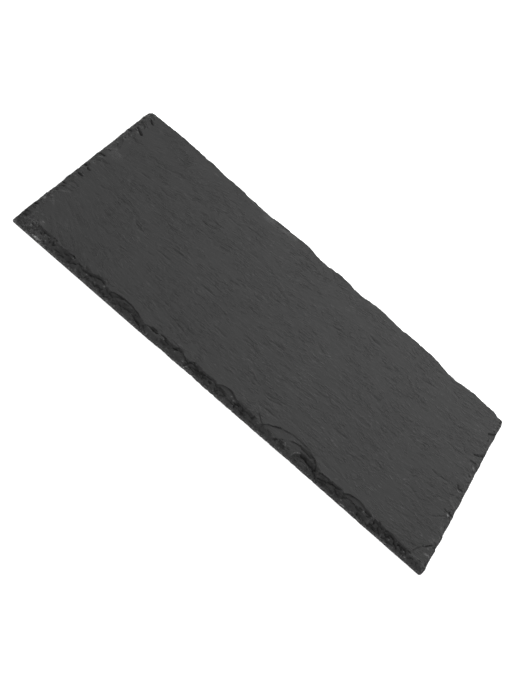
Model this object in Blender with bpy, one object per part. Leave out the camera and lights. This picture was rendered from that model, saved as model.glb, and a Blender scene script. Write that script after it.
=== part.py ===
"""Slate slab: one rectangular board of natural slate, split along its cleavage and dressed by hand on all four edges.

Frame: the origin is the middle of the underside, +X along the length, +Z up. The rougher long edge faces -Y.
The edges were dressed from above. Each blow struck off a flake and left a scar that opens upwards and outwards, so the height of
the stone over any point is the lowest of three things there: the flat cleft top, the broken bevel and the flake scars. Under the
bevel a low wall, leaning in a little, runs down to the outline of the underside.
Lengths inside the shape functions are millimetres; MM turns them into metres.
"""

import math

import bmesh
import bpy
import numpy as np

MM = 0.001

# Driving dimensions, in millimetres.
LENGTH = 300.0
WIDTH = 150.0
THICKNESS = 5.5
CORNER = {"NL": (2.4, 2.2), "NR": (3.4, 3.0), "FL": (4.0, 4.4), "FR": (7.0, 8.0)}  # radius along the length, and across
ROUND = {"NL": 2.0, "NR": 3.4, "FL": 5.0, "FR": 11.0}  # radius in plan of the arris at each corner
RAGGED = 0.2  # the most that the lower outline wanders inwards from its tables
PLATEAU = (236.0, 88.0)  # the part of the top that no flake reaches

# How finely the dressed edge is faceted.
COLUMNS = {"N": 210, "R": 78, "F": 130, "L": 80}
ROWS = (0.0, 0.22, 0.42, 0.60, 0.78, 0.92, 1.0)  # shares of the way from the head of the wall to the arris

# The arris, where the top ends: (place along the edge, how far in from the outline), in millimetres. It wanders about these.
ARRIS = {
    "N": [(-150, 9), (-135, 7), (-120, 5), (-90, 5), (-60, 3), (-48, 1), (-30, 4), (20, 4), (45, 1), (65, 3), (90, 5), (120, 4), (150, 1)],
    "L": [(-75, 1.5), (-30, 2.5), (30, 3), (75, 2.5)],
    "R": [(-75, 2), (20, 3), (75, 1.5)],
    "F": [(-150, 4.5), (-120, 3), (-60, 4), (0, 3.5), (90, 3), (105, 7), (120, 5), (150, 5)],
}
# How far the lower outline stands in from the full length and width: (place along the edge, how far).
INSET = {
    "N": [(-150, 0.2), (-60, 0.2), (-40, 0.7), (100, 0.5), (150, 0.2)],
    "L": [(-75, 0.1), (75, 0.3)],
    "R": [(-75, 0.6), (-50, 0.1), (50, 0.1), (75, 0.5)],
    "F": [(-150, 0.1), (90, 0.1), (105, 3), (120, 0.5), (150, 0.5)],
}
RIM = {"N": 2.5, "R": 3.9, "F": 1.7, "L": 3.8}  # the usual height at which the bevel turns down into the wall
WALL = {"N": 0.45, "R": 1.0, "F": 0.5, "L": 0.9}  # how far in the head of the wall leans
RISER = {"N": 0.50, "R": 0.24, "F": 0.24, "L": 0.24}  # the small step under the arris

# One flake scar a row: where its middle is along the edge, its half width, how far it reaches in, the riser under its arris, the
# height to which its tread falls at the outline, and how far it leans along the edge for each millimetre in.
SCARS = {
    "N": [
        (-110.5, 9.5, 9.0, 0.22, 4.3, 0.1),
        (-92.5, 7.5, 6.9, 0.9, 2.6, 0.1),
        (-71.5, 14.5, 6.9, 0.55, 3.4, -0.2),
        (-68.0, 14.0, 4.4, 1.5, 2.2, 0.1),
        (1.8, 9.2, 7.5, 0.75, 3.6, 0.0),
        (46.5, 21.0, 13.3, 0.55, 4.5, 0.22),
        (53.0, 15.5, 11.2, 0.90, 4.2, 0.3),
        (59.8, 9.6, 7.6, 2.1, 2.6, 0.15),
        (66.5, 6.0, 4.4, 3.0, 1.6, -0.1),
        (95.5, 12.2, 8.3, 0.75, 3.7, 0.1),
        (102.5, 6.5, 3.6, 2.7, 1.4, -0.1),
        (122.3, 5.0, 5.1, 1.1, 3.0, 0.1),
        (131.4, 4.7, 4.3, 1.1, 2.8, 0.1),
        (141.8, 5.8, 3.2, 0.7, 2.6, 0.0),
        (150.8, 3.6, 2.7, 0.4, 1.6, 0.0),
    ],
    "L": [
        (66.5, 3.4, 5.4, 0.45, 3.6, 0.2),
        (60.0, 3.4, 4.4, 0.4, 3.8, 0.2),
        (52.0, 5.4, 7.6, 0.55, 3.4, 0.2),
        (40.5, 6.4, 7.6, 0.35, 3.8, 0.1),
        (25.5, 9.5, 7.4, 0.30, 3.6, 0.0),
        (2.5, 6.0, 6.6, 0.25, 4.0, 0.2),
        (-6.0, 4.5, 4.4, 0.4, 3.8, 0.0),
        (-27.0, 6.5, 5.6, 0.3, 4.0, 0.2),
        (-52.5, 3.5, 2.6, 0.5, 3.4, 0.0),
    ],
    "R": [
        (51.0, 5.5, 5.6, 0.35, 3.8, -0.5),
        (28.0, 6.0, 6.0, 0.35, 3.8, -0.4),
        (16.0, 8.0, 6.4, 0.30, 4.0, 0.0),
        (1.0, 5.0, 4.6, 0.3, 4.0, 0.0),
        (-24.0, 5.0, 5.4, 0.3, 4.0, -0.4),
        (-36.0, 6.5, 6.4, 0.25, 4.2, 0.0),
        (-61.0, 7.0, 4.2, 0.3, 4.2, 0.0),
    ],
    "F": [
        (-59.0, 14.0, 6.6, 0.4, 2.4, 0.0),
        (-3.0, 7.0, 5.6, 0.5, 2.4, 0.0),
        (26.0, 9.0, 5.6, 0.4, 2.4, 0.0),
        (106.0, 10.0, 7.6, 0.4, 2.2, 0.0),
    ],
}


def smooth(t):
    t = np.clip(t, 0.0, 1.0)
    return t * t * (3.0 - 2.0 * t)


def lattice(ix, iy, seed):
    """One repeatable number from 0 to 1 for each whole-number point."""
    n = (ix.astype(np.int64) * 374761393 + iy.astype(np.int64) * 668265263 + seed * 1442695041) & 0xFFFFFFFF
    n = ((n ^ (n >> 13)) * 1274126177) & 0xFFFFFFFF
    return ((n ^ (n >> 16)) & 0xFFFFFF) / float(0xFFFFFF)


def ripple(x, y, seed):
    """Gradient noise over the plane, about -1 to 1."""
    x, y = np.broadcast_arrays(np.asarray(x, float), np.asarray(y, float))
    ix, iy = np.floor(x), np.floor(y)
    fx, fy = x - ix, y - iy
    wx = fx * fx * fx * (fx * (fx * 6.0 - 15.0) + 10.0)
    wy = fy * fy * fy * (fy * (fy * 6.0 - 15.0) + 10.0)

    def corner(dx, dy):
        turn = lattice(ix + dx, iy + dy, seed) * 2.0 * np.pi
        return np.cos(turn) * (fx - dx) + np.sin(turn) * (fy - dy)

    near = corner(0, 0) * (1.0 - wx) + corner(1, 0) * wx
    far = corner(0, 1) * (1.0 - wx) + corner(1, 1) * wx
    return 1.5 * (near * (1.0 - wy) + far * wy)


def facets(x, y, seed):
    """A crumpled surface of flat triangular facets, -1 to 1."""
    x, y = np.broadcast_arrays(np.asarray(x, float), np.asarray(y, float))
    skew = (x + y) * 0.3660254
    i, j = np.floor(x + skew), np.floor(y + skew)
    fx, fy = x + skew - i, y + skew - j
    first = fx > fy
    a = 2.0 * lattice(i, j, seed) - 1.0
    b = 2.0 * lattice(i + first, j + ~first, seed) - 1.0
    c = 2.0 * lattice(i + 1, j + 1, seed) - 1.0
    most, least = np.maximum(fx, fy), np.minimum(fx, fy)
    return a * (1.0 - most) + b * (most - least) + c * least


def from_edges(x, y):
    """For each edge, the distance along it and the distance in from it."""
    return {
        "N": (x, y + WIDTH / 2),
        "F": (x, WIDTH / 2 - y),
        "L": (y, x + LENGTH / 2),
        "R": (y, LENGTH / 2 - x),
    }


def wall_lean(s, side):
    """How far in from the outline the head of the wall stands."""
    return np.clip(WALL[side] + 0.26 * facets(s / 3.6, 2.5, ord(side) + 20), 0.1, 1.6)


def rim_height(s, side):
    rim = RIM[side] * (1.0 + 0.30 * facets(s / 5.5, 8.5, ord(side)))
    if side == "N":
        rim = rim - 0.9 * smooth((-128.0 - s) / 8.0)
    return rim


def bevel(s, d, side):
    """The broken bevel along an edge: a small riser under the arris, then a facet that falls to the head of the wall."""
    seed = ord(side)
    places, widths = zip(*ARRIS[side])
    wide = np.interp(s, places, widths) * (1.0 + 0.3 * facets(s / 6.0, 4.5, seed + 2))
    rim = rim_height(s, side)
    riser = RISER[side] + (0.55 if side == "N" else 0.35) * np.clip(facets(s / 4.0, 2.5, seed + 1), -0.4, 1.0)
    inside = wide - d
    share = np.clip(inside / np.maximum(wide - wall_lean(s, side), 0.3), 0.0, 1.15)
    low = THICKNESS - riser * smooth(inside / 0.35) - (THICKNESS - riser - rim) * share
    return np.where(inside > 0.0, low, THICKNESS)


def scar(s, d, at, half, reach, riser, rim, lean):
    """The surface that one flake left: an arched arris, a riser under it, and a tread that falls to the outline."""
    across = np.abs((s - at - lean * d) / half)
    arch = reach * np.clip(1.0 - across**2.2, 0.0, 1.0) ** 0.7
    inside = arch - d
    drop = riser * smooth(inside / (0.25 + 0.22 * riser))
    fall = np.clip(inside / np.maximum(arch, 0.3), 0.0, 1.0) ** 1.3
    low = THICKNESS - drop - (THICKNESS - riser - rim) * fall
    return np.where(inside > 0.0, low, THICKNESS)


def height(x, y):
    """How high the stone stands over a point of its outline."""
    z = np.full(np.shape(x), THICKNESS)
    # How much nearer the outline a point is than its distance from the straight sides says, at the worn corners.
    turned = np.zeros(np.shape(x))
    for corner, (cx, cy) in {"NL": (-1, -1), "NR": (1, -1), "FL": (-1, 1), "FR": (1, 1)}.items():
        radius = ROUND[corner]
        from_x, from_y = LENGTH / 2 - cx * x, WIDTH / 2 - cy * y
        inside = (from_x < radius) & (from_y < radius)
        arc = radius - np.hypot(radius - from_x, radius - from_y)
        turned = np.where(inside, np.minimum(from_x, from_y) - arc, turned)
    for side, (s, d) in from_edges(x, y).items():
        bent_s = s + 0.35 * facets(s / 3.0, d / 3.0, 3 + ord(side))
        bent_d = d + 0.22 * facets(s / 2.6, d / 2.6, 5 + ord(side)) - turned
        z = np.minimum(z, bevel(bent_s, bent_d, side))
        for one in SCARS[side]:
            z = np.minimum(z, scar(bent_s, bent_d, *one))
    depth = smooth((THICKNESS - z - 0.5) / 1.3)
    z = z + 0.28 * depth * facets(x / 4.4, y / 2.0, 41)
    return np.clip(z, 0.5, THICKNESS)


def outline():
    """The lower outline, anticlockwise from the near left corner, with each point's partner on the inner rectangle, and how far
    in the head of the wall stands there."""
    half_l, half_w = LENGTH / 2, WIDTH / 2
    in_l, in_w = half_l - 17.0, half_w - 17.0
    corners = [(-1, -1, "NL"), (1, -1, "NR"), (1, 1, "FR"), (-1, 1, "FL")]
    outer, inner, lean = [], [], []
    for k, side in enumerate("NRFL"):
        ax, ay, start = corners[k]
        bx, by, end = corners[(k + 1) % 4]
        share = np.arange(COLUMNS[side]) / COLUMNS[side]
        x = half_l * (ax + (bx - ax) * share)
        y = half_w * (ay + (by - ay) * share)
        long = np.hypot(half_l * (bx - ax), half_w * (by - ay))
        along = share * long
        back = long - along
        wander = np.clip(RAGGED * (0.35 + 0.65 * ripple(along / 5.0, 0.5, 11 + k)), 0.0, RAGGED)
        # Each corner is worn round: the points slide along the edge and stand in from it, up to half way round the corner.
        worn, slide = np.zeros(len(x)), np.zeros(len(x))
        for gone, corner, way in ((along, CORNER[start], 1.0), (back, CORNER[end], -1.0)):
            mine, other = corner if side in "NF" else corner[::-1]
            turn = math.pi / 4 * np.clip(1.0 - gone / mine, 0.0, 1.0)
            worn = worn + other * (1.0 - np.cos(turn))
            slide = slide + way * np.where(turn > 0.0, mine * (1.0 - np.sin(turn)) - gone, 0.0)
        places, insets = zip(*INSET[side])
        from_low = -long / 2 + along if side in "NR" else long / 2 - along
        eased = smooth(along / (2.0 * max(CORNER[start]))) * smooth(back / (2.0 * max(CORNER[end])))
        inwards = worn + (wander + np.interp(from_low, places, insets)) * eased
        x = x - inwards * (ax + bx) / 2 + slide * (bx - ax) / 2
        y = y - inwards * (ay + by) / 2 + slide * (by - ay) / 2
        outer.append(np.stack([x, y], 1))
        inner.append(np.stack([in_l * (ax + (bx - ax) * share), in_w * (ay + (by - ay) * share)], 1))
        lean.append(wall_lean(from_low, side))
    outer = np.concatenate(outer)
    # The furthest point of each side stands exactly on the full length or width.
    for axis, half in ((0, half_l), (1, half_w)):
        v = outer[:, axis]
        outer[:, axis] = np.where(v > 0.0, v * half / v.max(), v * half / -v.min())
    return outer, np.concatenate(inner), np.concatenate(lean)


def arris(outer, inner):
    """How far in, as a share of the way to the inner ring, each column meets the untouched top."""
    steps = np.linspace(0.0, 1.0, 260)
    x = outer[:, :1] + (inner[:, :1] - outer[:, :1]) * steps
    y = outer[:, 1:] + (inner[:, 1:] - outer[:, 1:]) * steps
    broken = height(x, y) < THICKNESS - 0.03
    last = broken.shape[1] - 1 - np.argmax(broken[:, ::-1], axis=1)
    return np.minimum(np.where(broken.any(axis=1), last, 1) + 1, 258) / 259.0


def build_slab():
    outer, inner, lean = outline()
    way = inner - outer
    far = np.linalg.norm(way, axis=1)
    begin = lean / far
    reach = np.maximum(arris(outer, inner), begin + 0.3 / far)
    bm = bmesh.new()
    under = [bm.verts.new((x * MM, y * MM, 0.0)) for x, y in outer]
    rings = [under]
    for share in ROWS:
        here = outer + way * (begin + (reach - begin) * share)[:, None]
        z = height(here[:, 0], here[:, 1]) if share < 1.0 else np.full(len(here), THICKNESS)
        rings.append([bm.verts.new((x * MM, y * MM, h * MM)) for (x, y), h in zip(here, z)])
    count = len(outer)
    for low, high in zip(rings, rings[1:]):
        for i in range(count):
            j = (i + 1) % count
            bm.faces.new((low[i], low[j], high[j], high[i]))

    # The flat top and the flat underside are each a plateau with a border filled in round it.
    for ring, z, up in ((rings[-1], THICKNESS * MM, True), (under, 0.0, False)):
        px, py = PLATEAU[0] / 2 * MM, PLATEAU[1] / 2 * MM
        flat = [bm.verts.new((sx * px, sy * py, z)) for sx, sy in ((-1, -1), (1, -1), (1, 1), (-1, 1))]
        border = [bm.edges.get((ring[i], ring[(i + 1) % count])) for i in range(count)]
        border += [bm.edges.new((flat[i], flat[(i + 1) % 4])) for i in range(4)]
        bmesh.ops.triangle_fill(bm, use_beauty=True, use_dissolve=False, edges=border)
        bm.faces.new(flat if up else flat[::-1])
    bmesh.ops.recalc_face_normals(bm, faces=bm.faces)
    bmesh.ops.triangulate(bm, faces=[f for f in bm.faces if len(f.verts) > 3])
    mesh = bpy.data.meshes.new("slate_slab")
    bm.to_mesh(mesh)
    bm.free()
    return mesh


def slate():
    """Dark neutral grey slate with a dull, slightly waxy cleft."""
    material = bpy.data.materials.new("slate")
    material.use_nodes = True
    shader = material.node_tree.nodes["Principled BSDF"]
    shader.inputs["Base Color"].default_value = (0.060, 0.060, 0.060, 1.0)
    shader.inputs["Roughness"].default_value = 0.62
    shader.inputs["Metallic"].default_value = 0.0
    return material


for old in list(bpy.data.objects):
    bpy.data.objects.remove(old, do_unlink=True)

slab = bpy.data.objects.new("slate_slab", build_slab())
slab.data.materials.append(slate())
bpy.context.scene.collection.objects.link(slab)
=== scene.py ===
"""The looks of a natural slate slab: a dense mesh of the one stone, with its cleft top, flaked edges and underside, and its slate material.

Lengths in the shape functions are millimetres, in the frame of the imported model: X along the length, Y across, Z up.
"""

import math

import bpy
import numpy as np
from mathutils import Matrix, Vector


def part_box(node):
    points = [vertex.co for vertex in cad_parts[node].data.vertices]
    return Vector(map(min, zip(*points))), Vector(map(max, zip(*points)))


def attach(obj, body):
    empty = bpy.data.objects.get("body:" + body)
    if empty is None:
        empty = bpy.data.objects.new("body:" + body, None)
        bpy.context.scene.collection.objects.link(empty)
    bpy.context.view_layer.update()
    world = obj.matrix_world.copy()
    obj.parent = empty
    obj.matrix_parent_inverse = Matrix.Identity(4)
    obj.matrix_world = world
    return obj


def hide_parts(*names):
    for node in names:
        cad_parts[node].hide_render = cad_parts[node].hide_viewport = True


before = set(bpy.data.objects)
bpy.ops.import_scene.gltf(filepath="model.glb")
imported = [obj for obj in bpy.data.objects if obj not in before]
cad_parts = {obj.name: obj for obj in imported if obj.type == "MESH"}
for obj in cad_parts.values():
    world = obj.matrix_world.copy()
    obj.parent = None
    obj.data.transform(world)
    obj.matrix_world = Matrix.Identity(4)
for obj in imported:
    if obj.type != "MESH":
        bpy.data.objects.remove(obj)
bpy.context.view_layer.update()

MM = 0.001
low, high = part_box("slate_slab")
LENGTH = round((high[0] - low[0]) * 1000, 2)
WIDTH = round((high[1] - low[1]) * 1000, 2)
THICKNESS = round((high[2] - low[2]) * 1000, 2)
CORNER = {"NL": (2.4, 2.2), "NR": (3.4, 3.0), "FL": (4.0, 4.4), "FR": (7.0, 8.0)}  # radius along the length, and across
ROUND = {"NL": 2.0, "NR": 3.4, "FL": 5.0, "FR": 11.0}  # radius in plan of the arris at each corner
RAGGED = 0.12
PROUD = {"N": 0.36, "R": 0.06, "F": 0.0, "L": 0.18}  # how far each whole outline stands out past the tables below
DEEP = {"N": 10.5, "R": 9.0, "F": 9.0, "L": 10.0}  # how far in from the outline the dressed border is meshed before the open top

# Mesh spacing.
STEP = {"N": 0.50, "R": 0.54, "F": 1.40, "L": 0.46}
WALL_ROWS = 5
BAND_ROWS = 20
BORDER_ROWS = 6
# (place along the length or across, cell length there)
TOP_X = ((-150, 1.2), (-90, 1.4), (-70, 1.85), (22, 1.85), (27, 1.4), (68, 1.4), (73, 1.85), (132, 1.85), (136, 0.85), (150, 0.85))
TOP_Y = ((-75, 0.49), (0, 0.53), (75, 0.58))
UNDER_CELL = (4.0, 3.0)

# The arris, where the top ends: (place along the edge, how far in from the outline), in millimetres.
ARRIS = {
    "N": [
        (-150, 9.6), (-147, 9.2), (-140, 8.6), (-134, 6.5), (-128, 6.3), (-124, 4.5), (-117, 5.6), (-111, 6.0), (-105, 4.6),
        (-100, 4.3), (-96, 5.4), (-91.6, 6.8), (-86, 4.2), (-81, 3.6), (-77, 4.4), (-72, 5.0), (-68, 4.9), (-63, 4.2), (-60, 2.7),
        (-56, 1.5), (-51.6, 0.9), (-48.3, 0.4), (-46, 1.6), (-44.5, 2.7), (-42.4, 3.6), (-38, 3.2), (-35.5, 4.6), (-33.3, 5.5),
        (-31, 4.8), (-29.7, 3.9), (-26, 2.9), (-24.5, 4.2), (-22.5, 5.3), (-20, 4.9), (-16.4, 4.4), (-12, 4.5), (-8.7, 4.8),
        (-6, 4.0), (-3, 4.4), (1.3, 4.9), (5, 4.9), (9, 4.9), (13, 4.3), (17.8, 4.2), (22.7, 3.1), (26.8, 2.4), (31.0, 3.4),
        (34.5, 2.6), (37, 1.2), (40, 0.7), (46, 0.6), (51, 0.7), (56, 1.8), (62, 3.4), (65, 3.6), (67, 2.8), (71.3, 5.2), (77, 5.7), (81, 5.4), (85, 5.1), (90, 5.0),
        (100, 5.2), (104.7, 5.1), (107.7, 2.4), (109.5, 4.2), (111.3, 5.0), (114.6, 4.9), (118.3, 3.1), (120.5, 3.9),
        (123.4, 4.2), (127, 2.2), (129, 3.6), (131.6, 4.1), (134, 3.0), (136.2, 1.4), (139, 2.6), (142, 2.9), (145.5, 1.7),
        (150, 0.5),
    ],
    "L": [
        (-75, 1.6), (-58, 1.6), (-55, 1.9), (-48, 2.2), (-40, 1.6), (-33, 2.6), (-29, 3.2), (-24, 1.7), (-16, 2.8), (-11, 1.6),
        (-5, 3.0), (-2, 1.7), (6, 3.4), (12, 1.8), (18, 3.0), (24, 4.4), (29, 3.4), (34, 2.0), (42, 3.4), (46, 2.2), (52, 4.0),
        (57, 2.4), (63, 3.8), (69, 3.0), (75, 2.4),
    ],
    "R": [
        (-75, 1.8), (-66, 1.9), (-56, 1.8), (-48, 2.2), (-40, 3.4), (-34, 2.4), (-26, 1.9), (-20, 2.4), (-12, 1.9), (-5, 2.4),
        (2, 3.0), (8, 1.9), (14, 3.6), (20, 4.0), (24, 1.9), (33, 2.8), (40, 1.9), (48, 2.6), (56, 1.8), (62, 1.6), (68, 1.2), (75, 1.4),
    ],
    "F": [
        (-150, 4.5), (-135, 3.7), (-122, 2.6), (-110, 2.7), (-103, 3.2), (-97, 2.6), (-88, 4.1), (-72, 3.7), (-59, 4.7), (-50, 4.7),
        (-40, 3.5), (-34, 2.8), (-27, 3.1), (-18, 2.1), (-8, 4.1), (0, 4.1), (11, 2.5), (20, 3.7), (30, 4.2), (42, 2.3), (55, 3.1),
        (61, 3.7), (74, 2.9), (87, 2.9), (93, 3.7), (99, 5.7), (106, 7.1), (112, 6.3), (119, 4.9), (125, 4.1), (134, 4.5), (150, 5.3),
    ],
}
# How far the lower outline stands in from the full length and width: (place along the edge, how far).
INSET = {
    "N": [
        (-150, 0.5), (-144, 0.1), (-106, 0.05), (-98, 0.35), (-90, 0.05), (-70, 0.05), (-62, 0.3), (-55, 0.15), (-47, 0.4), (-40, 0.9),
        (-34, 0.5), (-26, 0.65), (-19, 0.9), (-12, 0.5), (60, 0.7), (97, 0.6), (104, 0.4), (125, 0.3), (133, 0.05), (140, 0.3), (150, 0.05),
    ],
    "L": [
        (-75, 0.1), (-67, 0.0), (-60, 0.3), (-53, 0.3), (-46, 0.05), (-34, 0.45), (-20, 0.05), (-10, 0.25), (-3, 0.0), (8, 0.05),
        (20, 0.1), (31, 0.0), (45, 0.15), (60, 0.2), (75, 0.5),
    ],
    "R": [
        (-75, 0.7), (-68, 0.6), (-61, 0.3), (-58, 0.2), (-46, 0.12), (-40, 0.25), (-36, 0.0), (-30, 0.1), (-24, 0.0), (-16, 0.0),
        (-8, 0.2), (3, 0.0), (10, 0.0), (18, 0.1), (36, 0.0), (44, 0.0), (52, 0.05), (61, 0.1), (75, 0.6),
    ],
    "F": [(-150, 0.1), (88, 0.1), (96, 0.6), (104, 3.0), (109, 2.6), (117, 0.9), (124, 0.3), (150, 0.5)],
}
RIM = {"N": 2.5, "R": 3.9, "F": 1.7, "L": 3.8}  # the usual height at which the bevel turns down into the wall
WALL = {"N": 0.45, "R": 1.0, "F": 0.5, "L": 0.9}  # how far in the head of the wall leans

# One flake scar a row: where its middle is along the edge, its half width, how far it reaches in, the riser under its arris, the
# height to which its tread falls at the outline, and how far it leans along the edge for each millimetre in.
SCARS = {
    "N": [
        (-110.5, 9.5, 9.0, 0.22, 4.3, 0.1),
        (-92.5, 7.5, 6.9, 0.9, 2.6, 0.1),
        (-71.5, 14.5, 6.9, 0.55, 3.4, -0.2),
        (-68.0, 14.0, 4.4, 1.5, 2.2, 0.1),
        (1.8, 9.2, 7.5, 0.75, 3.6, 0.0),
        (46.5, 21.0, 13.3, 0.55, 4.5, 0.22),
        (53.0, 15.5, 11.2, 0.90, 4.2, 0.3),
        (59.8, 9.6, 7.6, 2.1, 2.6, 0.15),
        (66.5, 6.0, 4.4, 3.0, 1.6, -0.1),
        (95.5, 12.2, 8.3, 0.75, 3.7, 0.1),
        (102.5, 6.5, 3.6, 2.7, 1.4, -0.1),
        (122.3, 5.0, 5.1, 1.1, 3.0, 0.1),
        (131.4, 4.7, 4.3, 1.1, 2.8, 0.1),
        (141.8, 5.8, 3.2, 0.7, 2.6, 0.0),
        (150.8, 3.6, 2.7, 0.4, 1.6, 0.0),
    ],
    "L": [
        (66.5, 3.4, 5.4, 0.45, 3.6, 0.2),
        (60.0, 3.4, 4.4, 0.4, 3.8, 0.2),
        (52.0, 5.4, 7.6, 0.55, 3.4, 0.2),
        (40.5, 6.4, 7.6, 0.35, 3.8, 0.1),
        (25.5, 9.5, 7.4, 0.30, 3.6, 0.0),
        (2.5, 6.0, 6.6, 0.25, 4.0, 0.2),
        (-6.0, 4.5, 4.4, 0.4, 3.8, 0.0),
        (-27.0, 6.5, 5.6, 0.3, 4.0, 0.2),
        (-52.5, 3.5, 2.6, 0.5, 3.4, 0.0),
    ],
    "R": [
        (51.0, 5.5, 5.6, 0.35, 3.8, -0.5),
        (28.0, 6.0, 6.0, 0.35, 3.8, -0.4),
        (16.0, 8.0, 6.4, 0.30, 4.0, 0.0),
        (1.0, 5.0, 4.6, 0.3, 4.0, 0.0),
        (-24.0, 5.0, 5.4, 0.3, 4.0, -0.4),
        (-36.0, 6.5, 6.4, 0.25, 4.2, 0.0),
        (-61.0, 7.0, 4.2, 0.3, 4.2, 0.0),
    ],
    "F": [
        (-59.0, 14.0, 6.6, 0.4, 2.4, 0.0),
        (-3.0, 7.0, 5.6, 0.5, 2.4, 0.0),
        (26.0, 9.0, 5.6, 0.4, 2.4, 0.0),
        (106.0, 10.0, 7.6, 0.4, 2.2, 0.0),
    ],
}

# Where the near edge's broken surface is one smooth tread: the middle, and the half length.
CALM = ((-93.0, 4.5), (-70.0, 9.0), (58.0, 7.0), (98.0, 6.0), (142.0, 5.0))

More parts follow.
